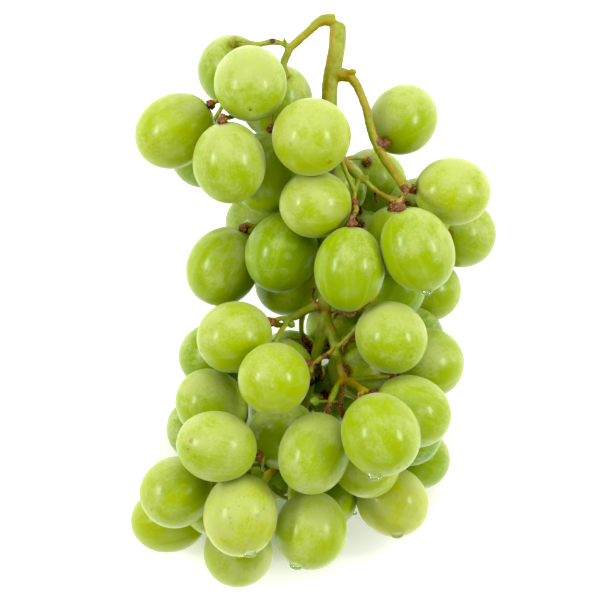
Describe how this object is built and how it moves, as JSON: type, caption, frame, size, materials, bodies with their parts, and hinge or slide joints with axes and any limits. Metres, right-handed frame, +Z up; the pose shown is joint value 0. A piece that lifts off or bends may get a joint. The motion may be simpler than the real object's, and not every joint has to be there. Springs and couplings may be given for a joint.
{
  "type": "bunch of grapes",
  "caption": "Bunch of oval green table grapes on its branched stem, as cut, lying on its back on a flat surface.",
  "frame": {"origin": "middle of the bunch's box, on the surface it lies on", "axes": "+Z up from the surface, +Y along the bunch towards the cut stem, +X to the right seen from above"},
  "size_m": [0.1122, 0.1734, 0.0839],
  "materials": {
    "berry_skin": "thin waxy skin, yellow-green and a little see-through, with pale bloom, fine specks and a brown blossom scar",
    "stem_wood": "fresh green stem, matt, turning brown and corky at the knots and where the berries sit"
  },
  "bodies": {
    "root": {"stem": "stem_wood", "berry_01": "berry_skin", "berry_02": "berry_skin", "berry_03": "berry_skin", "berry_04": "berry_skin", "berry_05": "berry_skin", "berry_06": "berry_skin", "berry_07": "berry_skin", "berry_08": "berry_skin", "berry_09": "berry_skin", "berry_10": "berry_skin", "berry_11": "berry_skin", "berry_12": "berry_skin", "berry_13": "berry_skin", "berry_14": "berry_skin", "berry_15": "berry_skin", "berry_16": "berry_skin", "berry_17": "berry_skin", "berry_18": "berry_skin", "berry_19": "berry_skin", "berry_20": "berry_skin", "berry_21": "berry_skin", "berry_22": "berry_skin", "berry_23": "berry_skin", "berry_24": "berry_skin", "berry_25": "berry_skin", "berry_26": "berry_skin", "berry_27": "berry_skin", "berry_28": "berry_skin", "berry_29": "berry_skin", "berry_30": "berry_skin", "berry_31": "berry_skin", "berry_32": "berry_skin", "berry_33": "berry_skin", "berry_34": "berry_skin", "berry_35": "berry_skin", "berry_36": "berry_skin", "berry_37": "berry_skin", "berry_38": "berry_skin", "berry_39": "berry_skin", "berry_40": "berry_skin", "berry_41": "berry_skin", "berry_42": "berry_skin", "berry_43": "berry_skin", "berry_44": "berry_skin", "berry_45": "berry_skin", "berry_46": "berry_skin", "berry_47": "berry_skin", "berry_48": "berry_skin", "berry_49": "berry_skin", "berry_50": "berry_skin", "berry_51": "berry_skin", "berry_52": "berry_skin", "berry_53": "berry_skin", "berry_54": "berry_skin", "berry_55": "berry_skin", "berry_56": "berry_skin", "berry_57": "berry_skin", "berry_58": "berry_skin", "berry_59": "berry_skin"}
  },
  "joints": []
}
